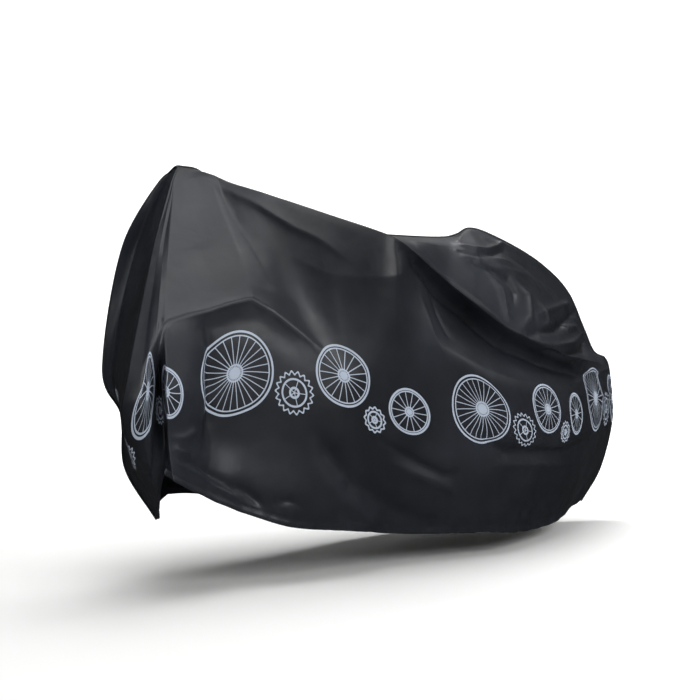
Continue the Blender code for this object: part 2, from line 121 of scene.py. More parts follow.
LEFT_RIBS = (
    Rib("front_seam", 0, 0, 0, 0, 24, (-39.6, 18.8, 103.4), (-40.1, 19.2, 102.8), (-41.7, 19.9, 101.3),
        (-51.5, 22.1, 85.3), (-61.9, 16, 51.2), (-59.5, 11.8, 42.3), (-60.4, 8.6, 29.2),
        (-53.8, 4.6, 16.2)),
    Rib("wing_fold", 0.6, 0.5, 0.2, 0.1, 24, (-39, 18.4, 104.2), (-40, 17.6, 103.2),
        (-41.8, 18.4, 100.9), (-47.8, 22.1, 85.3), (-61.9, 12.6, 51.8), (-62.3, 6.2, 42.1),
        (-62.3, 2.1, 29.3), (-56, 0.6, 16.9)),
    Rib("front_ridge", 1, 0.6, 0.5, 0.2, 24, (-38.5, 17.5, 104.7), (-39.6, 16.8, 103.3),
        (-41.95, 15.28, 100.63), (-53.41, 6.29, 84.67), (-73.24, -11.82, 54.05), (-77.6, -15.7, 45),
        (-67.7, -7.7, 30.6), (-59.3, -4.6, 18.6)),
    Rib("front_face", 1, 0.3, 0.5, 0.2, 23, (-38.2, 17.4, 104.7), (-39.4, 16.8, 103.4),
        (-41.79, 15.1, 100.65), (-52.78, 5.05, 84.41), (-70.56, -13.96, 55.42), (-74.7, -19.6, 45.7),
        (-69.6, -15.4, 32.7), (-65.1, -12.8, 22.5)),
    Rib("pleat", 1, 0.9, 0.5, 0.6, 22, (-38, 17.2, 104.7), (-39.2, 16.7, 103.4),
        (-41.65, 14.95, 100.68), (-52.26, 3.78, 84.03), (-65.9, -12.64, 61.25), (-62.7, -9.6, 49.7),
        (-65.3, -15.3, 36.3), (-68.2, -18.1, 31)),
    Rib("nose_edge", 0.8, 0.9, 0.5, 1, 22, (-37.5, 16.9, 104.6), (-38.9, 16.5, 103.4),
        (-41.39, 14.96, 100.69), (-51.75, 2.53, 83.64), (-62.54, -11.06, 65.23), (-66.8, -18, 49),
        (-67.1, -19.1, 37.4), (-66.7, -20.8, 29.3)),
    Rib("nose_side", 0.2, 0.6, 0.6, 1, 28, (-34.2, 14.3, 103.7), (-33.9, 13.6, 103.6),
        (-33.8, 12.7, 102.2), (-43.4, -1.6, 82.7), (-51.1, -13, 68.1), (-51, -13.4, 50.1),
        (-51, -13.4, 34.6), (-54.8, -18.1, 24.2)),
    Rib("nose_top", 0.9, 0.1, 0.7, 1, 33, (-29.5, 12.2, 99), (-31.1, 11.9, 102.6),
        (-30.8, 10.5, 101.3), (-35.4, -4.2, 84), (-39.2, -15.2, 71), (-40.8, -15.9, 52.2),
        (-42.1, -16, 34.1), (-44.5, -17.9, 19.6)),
    Rib("nose_rear", 0.3, 0.1, 0.6, 0.9, 36, (-22.5, 8.75, 95), (-24.5, 3, 96.5),
        (-25.25, -2.25, 97.5), (-27.25, -9.75, 82.75), (-29, -19.5, 63.5), (-30, -21, 47),
        (-31, -20.5, 31), (-32.5, -21, 15)),
    Rib("brow_hang", 0.2, 0.1, 0.7, 0.5, 37, (-12, 4.5, 91.5), (-14, -6, 91.5), (-15.75, -16, 92),
        (-18.25, -21, 76.5), (-18, -25.5, 51), (-18.5, -25.5, 42), (-18, -24.5, 29), (-15.5, -22, 12)),
    Rib("elbow_hang", 0.2, 0.1, 0.9, 0.2, 37, (6, 1, 88.5), (1, -16, 87.25), (-4.75, -29, 86),
        (-5.75, -31, 76.5), (-5.5, -29.5, 57.5), (-4.5, -27, 42.5), (-1, -24.5, 28), (4.5, -21.5, 9)),
    Rib("slope_front", 0.2, 0.1, 1, 0.1, 37, (24, 0, 87.5), (10.75, -20.5, 85.5), (6.25, -27, 81.25),
        (6.25, -25.25, 78.75), (7.5, -30.5, 58.5), (11, -30, 44), (15.5, -27.5, 28), (25, -24, 7)),
    Rib("slope_mid", 0.3, 0.1, 1, 0.1, 37, (45.5, -0.25, 87.75), (29.75, -14.75, 84.5),
        (18.5, -24.25, 75.25), (20.25, -19.75, 71), (15, -31, 56), (19.5, -31, 43), (24, -29.5, 28),
        (33, -25.5, 6.5)),
    Rib("slope_rear", 0.3, 0.1, 1, 0.1, 37, (53, 0, 90.25), (42.75, -13, 84.25), (27.5, -26, 69.25),
        (31, -19.75, 64.25), (25, -32, 52), (30, -32.5, 41.5), (35, -30, 27), (42.5, -26, 5.5)),
    Rib("dome_front", 0.2, 0.1, 1, 0.2, 37, (66.5, 0, 87.25), (52, -13.25, 80.5), (40.25, -26.75, 62),
        (41.5, -21.5, 57.25), (38, -31.5, 48.5), (44, -31.5, 39.5), (50, -27.5, 25), (59, -20.5, 4)),
    Rib("dome_mid", 0.2, 0.1, 1, 0.2, 37, (86, 0.5, 79.75), (70.25, -10.75, 73.75),
        (58.25, -25.5, 56.5), (62.25, -21, 51.25), (59, -27.5, 45), (61, -28.5, 36.5), (65.5, -24, 22),
        (71, -17, 4)),
    Rib("dome_rear", 0.3, 0.2, 1, 0.3, 37, (98.25, 0.25, 71), (88.5, -7, 64.25), (75.5, -21, 52.75),
        (80.25, -17.25, 47.75), (78.5, -21, 41.5), (79, -21.5, 34), (81, -18, 19.5), (85, -9.5, 4.5)),
    Rib("tail_side", 0.4, 0.3, 0.9, 0.4, 36, (105.75, 0.25, 59.75), (99.5, -5, 56), (89.75, -15, 51),
        (93.25, -12.75, 46), (93, -14.5, 40), (94, -14.5, 32.5), (95, -10, 18), (95, -3.5, 5)),
    Rib("tail_end", 0.4, 0.4, 0.7, 0.4, 35, (111.25, 0.5, 52.25), (108, -3.25, 51), (104, -7.5, 49.5),
        (105.25, -7.5, 44.5), (106, -8, 39), (106.5, -7.5, 31.5), (105, -4.5, 16.5), (100, -1.5, 5.5)),
    Rib("rear_seam", 0, 0, 0, 0, 34, (115.25, -0.25, 50.5), (116.75, -0.25, 49), (118, 0, 46.5),
        (118.75, 0, 42.75), (119.5, 0, 37.5), (119.5, 0, 30), (113.5, 0, 15.5), (103.5, -0.5, 6)),
)

# The right panel has the left ribs of these names, on lines of their own below the seam.
RIGHT_LINES = {
    "front_face": ((-36.5, 17.5, 103), (-37.5, 21.5, 101), (-46.5, 26.5, 84), (-53, 25, 55),
        (-53.5, 21.5, 42), (-53, 18.5, 29), (-49, 13, 17)),
    "nose_side": ((-34, 17, 101), (-34.5, 20.5, 99), (-40, 27.5, 82), (-43.5, 28.5, 58), (-44, 27, 44),
        (-43, 24, 31), (-40.5, 19, 19.5)),
    "nose_rear": ((-23.5, 15, 94.5), (-24.5, 20.5, 91.5), (-27, 28, 77), (-29, 31, 57),
        (-29.5, 29.5, 43), (-28, 27, 29), (-25.5, 22.5, 17.5)),
    "elbow_hang": ((5, 8.5, 87), (3, 15.5, 83.5), (1, 25, 71), (-1, 29.5, 54), (-0.5, 29, 41),
        (1, 27.5, 26), (4, 23.5, 10)),
    "slope_front": ((24, 7.5, 86), (23.5, 14.5, 82), (22.5, 24, 70), (22, 30, 53.5), (23, 30, 41),
        (24.5, 28, 25), (27, 24.5, 6)),
    "dome_front": ((60, 8.5, 84.5), (56, 15, 80), (53, 22.5, 69), (50, 28, 53), (50.5, 29, 40),
        (53, 27, 24), (56, 22.5, 4)),
    "dome_mid": ((78.5, 7, 77.5), (73.5, 12.5, 73), (69, 19.5, 62.5), (66, 25, 49), (67, 25.5, 37),
        (69, 22, 22), (72, 17, 4.5)),
    "dome_rear": ((92, 6, 69), (88, 10.5, 64.5), (85, 16, 55.5), (83.5, 20.5, 44.5), (84, 20.5, 34),
        (85, 17, 20), (86.5, 10, 5)),
    "tail_side": ((102.5, 3.5, 57.5), (99.5, 7.5, 54), (98, 12, 48), (96.5, 15, 40), (96.5, 14.5, 32),
        (96, 10.5, 18), (95, 5, 5.5)),
}

LEFT_FOLDS = (
    Fold("brow_crease", 0.7, 1, 0.2, ((-33, 9.5, 99.5, 0.15), (-34.5, 3, 93, 0.35),
         (-35.5, -1.5, 88, 0.4), (-36.5, -6.5, 82.5, 0.4), (-38.5, -12.5, 76.5, 0.4),
         (-40.5, -17.5, 71.5, 0.3))),
    Fold("brow_shade", 1.8, 1.5, 0, ((-31.5, 7, 98.5, -0.2), (-32.5, 1.5, 92.5, -0.45),
         (-32.5, -6.5, 84, -0.5), (-32.5, -13.5, 75, -0.3))),
    Fold("brow_swell", 1.5, 1.1, -0.4, ((-32, 8.5, 99.5, 0.2), (-28, -1.5, 95, 0.5),
         (-23, -11.5, 88.5, 0.6), (-19, -16.5, 85.5, 0.45), (-15.5, -21, 81, 0.1))),
    Fold("top_swell", 2.4, 1.6, 0, ((-26, -2, 97.5, 0.05), (-20.5, -10.5, 93.5, 0.1),
         (-14, -20.5, 89, 0.1), (-8.5, -27.5, 86, 0.05))),
    Fold("nose_arc", 0.7, 1, -0.3, ((-62.5, -11.5, 65.5, 0.35), (-58, -13, 66.5, 0.45),
         (-51.5, -14.5, 68, 0.5), (-45, -15.5, 70, 0.5), (-41, -17, 71, 0.5), (-35, -18.5, 67.5, 0.5),
         (-30.5, -20.5, 63.5, 0.5), (-25.5, -22, 60, 0.4), (-20.5, -24, 55, 0.3), (-15, -26, 48, 0.1))),
    Fold("nose_dip", 3, 1.6, 0, ((-60.5, -13.5, 62.5, -0.2), (-50.5, -13.5, 63.5, -0.4),
         (-43.5, -15.5, 65.5, -0.5), (-38, -17, 65, -0.5), (-31, -20, 60, -0.3))),
    Fold("nose_valley", 1.3, 1.3, 0, ((-52, -13.5, 64.5, -0.39), (-51, -13, 58.5, -1.04),
         (-51, -13, 50, -1.3), (-51.5, -13, 41.5, -1.04), (-52.5, -13.5, 37, -0.26))),
    Fold("nose_valley_lip", 0.9, 1, 0, ((-54, -14, 64.5, 0.1), (-53, -13.5, 56, 0.35),
         (-53.5, -14, 44.5, 0.3), (-54.5, -14.5, 38, 0.1))),
    Fold("dome_ridge", 0.9, 1, -0.4, ((-2.5, -29.5, 84.5, 0.3), (10, -25, 80, 0.6),
         (21.5, -23, 74.5, 0.8), (29.5, -24.5, 69.5, 0.8), (39.5, -27.5, 62, 0.8), (49, -27, 59, 0.7),
         (58.5, -26, 56.5, 0.7), (75.5, -21.5, 52.5, 0.6), (88.5, -16, 51, 0.4))),
    Fold("long_valley", 2.2, 1.5, 0, ((-2.5, -29.5, 83, -0.5), (11, -21.5, 77.5, -1.6),
         (27, -18, 68, -2.2), (42.5, -21, 58, -2.2), (61, -20, 52, -1.8), (80, -16.5, 48, -1.2),
         (99, -10.5, 44, -0.4))),
    Fold("valley_lip", 1, 1, 0.3, ((5.5, -25, 80.5, 0.2), (18, -19.5, 74, 0.5), (27, -18, 68, 0.7),
         (35, -19, 62, 0.7), (44.5, -20, 56, 0.7), (55, -20, 52.5, 0.3))),
    Fold("gully_light", 1.08, 1.2, 0, ((6, -26.5, 70.5, 0.15), (7.5, -27.5, 66, 0.35),
         (8, -29.5, 62.5, 0.4), (10.5, -31, 57, 0.1))),
    Fold("gully_light_2", 1.17, 1.2, 0.2, ((19, -18.5, 72.5, 0.25), (24.5, -17.5, 68.5, 0.55),
         (29, -17.5, 65, 0.55), (30, -22, 59.5, 0.15))),
    Fold("gully_dark", 1.17, 1.2, 0, ((13.5, -21.5, 73, -0.3), (14.5, -24.5, 67, -0.75),
         (16, -27.5, 61.5, -0.6))),
    Fold("slope_streak", 1.26, 1.1, 0.3, ((31.5, -15.5, 83.5, 0.48), (42.5, -14, 82.5, 0.8),
         (56, -11.5, 80.5, 0.96), (70, -10.5, 74.5, 0.64))),
    Fold("dome_crease", 1.08, 1, 0, ((32, -17, 81.5, 0.48), (39.5, -15.5, 81, 0.64))),
    Fold("dome_crease_2", 1.17, 1.1, 0.2, ((36, -17, 80, -0.64), (44.5, -16.5, 78, -1.28),
         (52, -16, 75, -1.44), (53, -18, 72, -1.12), (49.5, -20.5, 69, -0.48))),
    Fold("dome_facet", 1.44, 1.2, 0, ((41.5, -18, 76.5, 0.48), (44.5, -20, 72.5, 1.12),
         (43, -24.5, 66.5, 0.8))),
    Fold("dome_facet_2", 1.26, 1.1, 0, ((56.5, -15, 74.5, 0.32), (60.5, -16.5, 71, 1.12),
         (55, -22, 64.5, 0.96), (45.5, -27, 61.5, 0.32))),
    Fold("arc_streak", 1.35, 1.1, -0.3, ((61.5, -4.5, 85.5, 0.8), (73, -2, 83.5, 1.28),
         (82.5, -2, 79.5, 1.28), (90.5, -0.5, 76.5, 0.64))),
    Fold("arc_shade", 1.44, 1.3, 0, ((60.5, -7.5, 83, -0.48), (71.5, -6.5, 79, -0.96),
         (81.5, -5.5, 74, -0.8), (87, -6, 69, -0.32))),
    Fold("crumple_1", 1.02, 1, 0.2, ((59.5, -20, 65, 0.45), (72, -14.5, 66.5, 1.2),
         (93, -3.5, 68, 1.35))),
    Fold("crumple_2", 1.1, 1.2, 0, ((50, -27, 60, -0.9), (61, -22.5, 61, -1.65), (72, -17.5, 61, -1.8),
         (89, -7, 63.5, -1.5), (101, -0.5, 65.5, -0.9))),
    Fold("crumple_3", 0.94, 1, 0, ((57, -26.5, 57, 0.45), (66, -23.5, 56.5, 1.2),
         (80, -16, 56.5, 1.35), (98, -4.5, 58.5, 0.9))),
    Fold("crumple_4", 1.02, 1.2, 0, ((60, -25.5, 55.5, -0.6), (69.5, -23.5, 54, -1.95),
         (93.5, -9, 54, -2.25), (101, -4.5, 56, -1.35))),
    Fold("crumple_5", 0.94, 1, 0, ((66.5, -16, 68, 0.3), (67, -18, 63, 0.9),
         (56.5, -24.5, 60.5, 0.45))),
    Fold("crumple_6", 0.85, 1, 0, ((79.5, -12, 63, 0.3), (81.5, -13, 60.5, 0.9), (95.5, -5, 61, 0.9))),
    Fold("tail_crease", 0.9, 1, 0, ((88, -15, 48, 0.28), (99.5, -10, 47, 0.84), (116.5, -1, 47, 0.56))),
    Fold("tail_crease_2", 0.9, 1, 0.2, ((91, -15, 41.5, 0.14), (99, -11.5, 39.5, 0.56),
         (116, -2, 39, 0.42))),
    Fold("side_smile", 2.16, 1.4, 0.2, ((23, -30.5, 35.5, -0.48), (29, -30, 32, -1.68),
         (36, -29.5, 29, -2.16), (51, -27.5, 27, -2.16), (66, -24.5, 26, -1.68),
         (86, -17.5, 27.5, -0.48))),
    Fold("side_line", 0.9, 1, 0, ((32, -29.5, 25.5, 0.48), (48.5, -27.5, 24, 1.2),
         (69, -23.5, 22, 0.72))),
    Fold("side_drag", 1.62, 1.3, 0.3, ((-6.5, -25.5, 35, -0.48), (1, -25, 31, -1.44),
         (9.5, -25.5, 27, -1.68), (16, -26, 24, -1.44), (21, -28, 24.5, -0.24))),
    Fold("side_drag_lip", 1.44, 1.3, 0, ((-1.5, -24.5, 28.5, 0.24), (8.5, -25, 24, 1.2),
         (18.5, -26, 20, 0.72))),
    Fold("low_drag", 2.88, 1.6, 0, ((-21.5, -23.5, 33, -0.77), (-14, -23, 24.5, -2.04),
         (0.5, -21.5, 16.5, -2.29), (15, -22, 10.5, -1.53))),
    Fold("low_swell", 2.6, 1.6, 0, ((-24.5, -22.5, 28.5, 0.17), (-18, -23, 20.5, 1.02),
         (-5.5, -21, 13.5, 0.85))),
    Fold("knee_drag", 1.8, 1.4, 0, ((-25, -23, 37, -0.48), (-21.5, -23.5, 32.5, -1.44),
         (-18, -23.5, 27.5, -0.72))),
    Fold("hem_crumple", 1, 1.1, 0, ((41, -27.5, 14.5, 0.2), (47.5, -26, 14.5, 0.6),
         (54.5, -23.5, 11.5, 0.3), (61.5, -21, 9, 0.5), (67, -19.5, 9, 0.2))),
    Fold("hem_crumple_2", 0.9, 1.1, 0, ((46.5, -25.5, 12, -0.2), (53, -23.5, 10.5, -0.5),
         (56, -21.5, 7, -0.2))),
    Fold("hem_fold", 1, 1.1, 0, ((-62, -18, 33.5, -0.3), (-57, -16, 32, -1), (-51, -15.5, 28.5, -1.2),
         (-45.5, -16.5, 25, -0.8))),
    Fold("hem_fold_lip", 1, 1.2, 0, ((-64.5, -19, 33, 0.2), (-57, -16.5, 30, 0.6),
         (-51.5, -16, 26.5, 0.6), (-46.5, -16.5, 24, 0.3))),
    Fold("hem_pocket", 0.9, 1.1, 0, ((-46, -16.5, 26, -0.4), (-43, -17, 24.5, -1.1),
         (-40, -18, 22, -1.1), (-39, -18, 20.5, -0.4))),
    Fold("hem_pocket_2", 0.9, 1.1, 0, ((-35.5, -19, 21, -0.3), (-32.5, -20.5, 21.5, -0.9),
         (-29, -21, 20, -0.4))),
    Fold("front_lump", 1.2, 1.2, 0.3, ((-65.5, -18.5, 39, 0.2), (-61.5, -17.5, 38.5, 0.8),
         (-57, -15.5, 39.5, 0.7), (-55.5, -15, 36.5, 0.3))),
    Fold("front_lump_2", 1.1, 1.2, 0, ((-66, -16.5, 36.5, 0.2), (-64.5, -18.5, 36, 0.7),
         (-60.5, -17.5, 34.5, 0.5))),
    Fold("low_ridge", 1.4, 1.2, 0, ((-71, -16.5, 42.5, 0.4), (-71, -15.5, 38, 0.9),
         (-70, -13, 34, 0.8), (-62, 3.5, 29, 0.3))),
    Fold("low_shade", 1.6, 1.3, 0, ((-67, -13.5, 42.5, -0.2), (-68, -15.5, 37, -0.8),
         (-68.5, -15.5, 31.5, -0.6))),
    Fold("peak_edge", 0.8, 1, 0, ((33.5, -13.5, 85, 0.39), (35.5, -14, 84.5, 0.91),
         (40, -14, 84, 1.17), (48.5, -11, 84, 1.17), (58, -6.5, 85, 1.17), (64, -2.5, 86, 0.52))),
    Fold("peak_front", 0.7, 1, 0, ((36, -11.5, 85.5, 0.39), (45.5, -4.5, 88, 0.91),
         (53, 0, 90, 1.04))),
    Fold("peak_dip", 1.1, 1.1, 0, ((32, -16, 83, -0.6), (39, -15, 82, -1.2),
         (49.5, -12.5, 82.5, -1.2), (62, -6, 84, -0.45))),
    Fold("arc_streak_2", 0.8, 1, 0, ((75.5, 0, 84.5, 0.4), (83.5, 0, 81.5, 0.8), (90, 0.5, 78, 0.8),
         (94.5, -0.5, 73, 0.3))),
    Fold("dome_plane", 1, 1, 0, ((40, -16, 80.5, 0.3), (50.5, -14.5, 78.5, 0.8),
         (63.5, -12, 76.5, 0.7), (71, -11.5, 72.5, 0.3))),
    Fold("facet_edge", 0.8, 1, 0, ((65.5, -16.5, 68, 0.4), (74.5, -15, 64, 0.9), (91, -8, 60, 0.8),
         (100, -4, 57.5, 0.3))),
    Fold("facet_edge_2", 0.9, 1, 0, ((87, -6, 69, 0.3), (91.5, -5, 65, 0.8), (99, -2.5, 62, 0.7))),
    Fold("facet_dip", 1, 1.1, 0, ((71.5, -15.5, 66, -0.4), (81.5, -11, 62.5, -0.9),
         (86, -11.5, 59.5, -0.6))),
)

RIGHT_FOLDS = (
    Fold("long_valley", 2.4, 1.3, 0, ((-10, 25, 80, -0.6), (6, 26, 68, -2), (24, 29, 57, -2.4),
         (46, 29, 49, -1.8), (70, 26, 43, -0.6))),
    Fold("long_lip", 1.3, 1, 0.3, ((-6, 25, 83, 0.3), (10, 25, 72, 0.8), (28, 27, 62, 0.9),
         (50, 27, 54, 0.7), (72, 23, 48, 0.3))),
    Fold("dome_ridge", 1.8, 1, -0.3, ((18, 24, 68, 0.4), (40, 27, 58, 1.6), (66, 24, 54, 1.8),
         (92, 15, 50, 0.8))),
    Fold("nose_ridge", 1.8, 1, 0, ((-42, 26, 84, 0.4), (-46, 28, 62, 1.3), (-44, 26, 40, 1.2),
         (-38, 20, 22, 0.4))),
    Fold("nose_line", 1.2, 1, 0.3, ((-36, 24, 92, 0.4), (-36, 30, 66, 0.8), (-33, 29, 44, 0.7))),
    Fold("side_valley", 2.2, 1.3, 0, ((-18, 26, 78, -0.4), (-16, 30, 54, -1.6), (-12, 26, 28, -1.2))),
    Fold("side_swell", 2.8, 1.4, 0, ((-4, 28, 30, 0.3), (18, 29, 25, 1.4), (44, 27, 27, 1.2),
         (70, 23, 31, 0.2))),
    Fold("side_line", 1, 1, 0, ((26, 29, 22, 0.3), (50, 27, 21, 0.7), (72, 21, 20, 0.3))),
    Fold("dome_streak", 1.4, 1, 0.3, ((52, 18, 77, 0.3), (70, 16, 70, 0.9), (88, 12, 62, 0.6))),
    Fold("dome_crumple", 1.3, 1, 0, ((66, 21, 61, -0.4), (80, 17, 58, -1.1), (92, 11, 58, -0.5))),
    Fold("dome_crumple_2", 1.2, 1, 0, ((72, 22, 55, 0.3), (84, 18, 53, 0.9), (95, 12, 52, 0.4))),
    Fold("front_line", 1.4, 1, 0, ((-40, 21, 98, 0.3), (-48, 26, 76, 0.8), (-53, 25, 54, 0.5))),
    Fold("low_crumple", 1.1, 1, 0, ((-6, 25, 16, -0.3), (8, 25, 14, -0.9), (20, 25, 13, -0.3))),
)


def add_node(tree: bpy.types.NodeTree, kind: str, settings: dict[str, Any] | None = None,
             inputs: dict[Any, Any] | None = None) -> bpy.types.Node:
    """Adds one shader node.

    Args:
        tree: node tree that takes the node.
        kind: Blender's name for the node type.
        settings: the node's own attributes and their values.
        inputs: for each input, by name or number, a socket to link or a value to set.

    Returns:
        The new node.
    """
    made = tree.nodes.new(kind)
    for name, value in (settings or {}).items():
        setattr(made, name, value)
    for name, value in (inputs or {}).items():
        if isinstance(value, bpy.types.NodeSocket):
            tree.links.new(value, made.inputs[name])
        else:
            made.inputs[name].default_value = value
    return made


def linear(colour: str) -> tuple[float, float, float, float]:
    """Turns an sRGB hex colour into linear RGBA.

    Args:
        colour: six hex digits after a hash sign.

    Returns:
        Linear red, green and blue, and alpha 1.
    """
    parts = [int(colour[place:place + 2], 16) / 255 for place in (1, 3, 5)]
    return (*(c / 12.92 if c <= 0.04045 else ((c + 0.055) / 1.055) ** 2.4 for c in parts), 1.0)


def smooth_line(keys: Any, points: Any, wanted: np.ndarray, crisp: Any = 0.0) -> np.ndarray:
    """Points at the wanted places on a line through the given points.

    Args:
        keys: place of each given point along the line.
        points: the given points, one a row.
        wanted: places to work out.
        crisp: how sharply the line turns at each given point, one value or one a point.

    Returns:
        One point a row, for each wanted place.
    """
    keys = np.asarray(keys, float)
    points = np.asarray(points, float)
    steps = np.diff(keys)
    slopes = np.diff(points, axis=0) / steps[:, None]
    tangents = np.empty_like(points)
    tangents[0] = slopes[0]
    tangents[-1] = slopes[-1]
    # The gentler of the two slopes at a point counts for more, so that the line doesn't overshoot.
    steep = np.linalg.norm(slopes, axis=1)[:, None] + 1e-9
    tangents[1:-1] = (slopes[:-1] * steep[1:] + slopes[1:] * steep[:-1]) / (steep[:-1] + steep[1:])
    crisp = np.broadcast_to(np.asarray(crisp, float), keys.shape)
    place = np.clip(np.searchsorted(keys, wanted, side="right") - 1, 0, len(steps) - 1)
    t = ((wanted - keys[place]) / steps[place])[:, None]
    span = steps[place][:, None]
    curved = ((1 + 2 * t) * (1 - t) ** 2 * points[place]
              + t * (1 - t) ** 2 * span * tangents[place]
              + t * t * (3 - 2 * t) * points[place + 1]
              + t * t * (t - 1) * span * tangents[place + 1])
    straight = points[place] + t * (points[place + 1] - points[place])
    share = crisp[place][:, None] * (1 - t) + crisp[place + 1][:, None] * t
    return share * straight + (1.0 - share) * curved


def smoothed(values: np.ndarray, rounds: int) -> np.ndarray:
    """Evens out a grid of values along both of its directions.

    Args:
        values: grid with one or more values at each column and row.
        rounds: how many times each point takes in its neighbours.

    Returns:
        The evened grid.
    """
    out = np.array(values, float)
    for _ in range(rounds):
        for axis in (0, 1):
            out = np.moveaxis(out, axis, 0)
            inner = 0.25 * out[:-2] + 0.5 * out[1:-1] + 0.25 * out[2:]
            out = np.concatenate((out[:1], inner, out[-1:]))
            out = np.moveaxis(out, 0, axis)
    return out


def running_length(points: np.ndarray) -> np.ndarray:
    """Length along a line of points up to each of them.

    Args:
        points: one point a row.

    Returns:
        The length at each point, from 0.
    """
    return np.concatenate(([0.0], np.cumsum(np.linalg.norm(np.diff(points, axis=0), axis=1))))


def unit(vectors: np.ndarray) -> np.ndarray:
    """The same vectors, each with a length of 1."""
    return vectors / np.maximum(np.linalg.norm(vectors, axis=-1, keepdims=True), 1e-12)


def right_ribs() -> tuple[Rib, ...]:
    """The right panel's ribs: the left ones that RIGHT_LINES names, and the two at the seam's ends."""
    own = [Rib(*rib[:7], *RIGHT_LINES[rib.name]) for rib in LEFT_RIBS if rib.name in RIGHT_LINES]
    return (LEFT_RIBS[0], *own, LEFT_RIBS[-1])


class MotifKind(Enum):
    """The plain machine parts that the printed band is made of."""

    WHEEL = "wheel"
    COG = "cog"


@dataclass(frozen=True)
class Motif:
    """One printed outline."""

    kind: MotifKind  # wheel or cog
    along: float  # place of its centre along the band's repeat
    rise: float  # height of its centre above the band's centre line
    radius: float  # outer radius
    count: int  # number of spokes or teeth

    @property
    def arms(self) -> int:
        """Number of straight lines from its centre: a wheel's spokes, or a cog's five arms."""
        return self.count if self.kind is MotifKind.WHEEL else 5

    def rings(self, line: float) -> list[tuple[float, float]]:
        """Works out the rings that it is drawn with.

        Args:
            line: half the width of a plain printed line.

        Returns:
            Radius and half width of each ring. The arms end at the last but one.
        """
        if self.kind is MotifKind.WHEEL:
            shares = ((1.0, 1.3), (0.90, 0.8), (0.20, 1.0))    # tyre, rim and hub
        else:
            shares = ((0.62, 1.2), (0.22, 1.4))                # plate and boss
        return [(reach * self.radius, wide * line) for reach, wide in shares]


@dataclass(frozen=True)
class PrintedBand:
    """Screen-printed line art: spoked wheels and cogs in one row, repeated along the film."""

    repeat: float = 0.74  # length of one repeat
    line: float = 0.0021  # half the width of a printed line
    tooth: float = 0.07  # height of a cog's teeth, as a share of its radius
    root: float = 0.90  # mean radius of the toothed outline, as a share of the cog's radius
    # The outlines in one repeat.
    motifs: tuple[Motif, ...] = (
        Motif(MotifKind.WHEEL, 0.130, 0.008, 0.100, 26),
        Motif(MotifKind.COG, 0.292, -0.034, 0.054, 18),
        Motif(MotifKind.WHEEL, 0.428, 0.028, 0.074, 18),
        Motif(MotifKind.COG, 0.528, -0.058, 0.034, 12),
        Motif(MotifKind.WHEEL, 0.634, -0.014, 0.060, 14),
    )

    def mask(self, tree: bpy.types.NodeTree) -> bpy.types.NodeSocket:
        """Draws the band.

        Args:
            tree: node tree of the film that is printed on.

        Returns:
            A socket that is 1 on the ink and 0 off it.
        """
        place = add_node(tree, "ShaderNodeUVMap", {"uv_map": "print"})
        parts = add_node(tree, "ShaderNodeSeparateXYZ", None, {0: place.outputs[0]})
        wrapped = add_node(tree, "ShaderNodeMath", {"operation": "FLOORED_MODULO"},
                           {0: parts.outputs[0], 1: self.repeat})
        spot = add_node(tree, "ShaderNodeCombineXYZ", None, {0: wrapped.outputs[0], 1: parts.outputs[1]})
        ink = self.draw(tree, spot.outputs[0], self.motifs[0])
        for motif in self.motifs[1:]:
            both = {0: ink, 1: self.draw(tree, spot.outputs[0], motif)}
            ink = add_node(tree, "ShaderNodeMath", {"operation": "MAXIMUM"}, both).outputs[0]
        return ink

    def draw(self, tree: bpy.types.NodeTree, spot: bpy.types.NodeSocket,
             motif: Motif) -> bpy.types.NodeSocket:
        """Draws one wheel or cog.

        Args:
            tree: node tree of the film.
            spot: place on the film within one repeat, in metres.
            motif: what is drawn.

        Returns:
            A socket that is 1 on the ink and 0 off it.
        """
        offset = add_node(tree, "ShaderNodeVectorMath", {"operation": "SUBTRACT"},
                          {0: spot, 1: (motif.along, motif.rise, 0.0)}).outputs[0]
        away = add_node(tree, "ShaderNodeVectorMath", {"operation": "LENGTH"}, {0: offset}).outputs[1]
        parts = add_node(tree, "ShaderNodeSeparateXYZ", None, {0: offset})
        known = {"x": parts.outputs[0], "y": parts.outputs[1], "away": away}
        rings = motif.rings(self.line)
        # A sine of half the arms' number is zero along each arm, and its slope sets the arm's width.
        sides = motif.arms / 2
        steps = [("angle", "ARCTAN2", "y", "x"),
                 ("turn", "MULTIPLY", "angle", sides),
                 ("sway", "SINE", "turn"),
                 ("reach", "MULTIPLY", "sway", "away"),
                 ("arm", "COMPARE", "reach", 0.0, 0.5 * self.line * sides),
                 ("inside", "LESS_THAN", "away", rings[-2][0]),
                 ("ink", "MULTIPLY", "arm", "inside")]
        if motif.kind is MotifKind.COG:
            steps += [("teeth", "MULTIPLY", "angle", float(motif.count)),
                      ("wave", "COSINE", "teeth"),
                      ("rim", "MULTIPLY_ADD", "wave", self.tooth * motif.radius, self.root * motif.radius)]
            rings.append(("rim", 1.2 * self.line))
        for radius, half_width in rings:
            steps += [("ring", "COMPARE", "away", radius, half_width),
                      ("ink", "MAXIMUM", "ink", "ring")]
        for name, operation, *values in steps:
            inputs = {place: known.get(value, value) for place, value in enumerate(values)}
            known[name] = add_node(tree, "ShaderNodeMath", {"operation": operation}, inputs).outputs[0]
        return known["ink"]


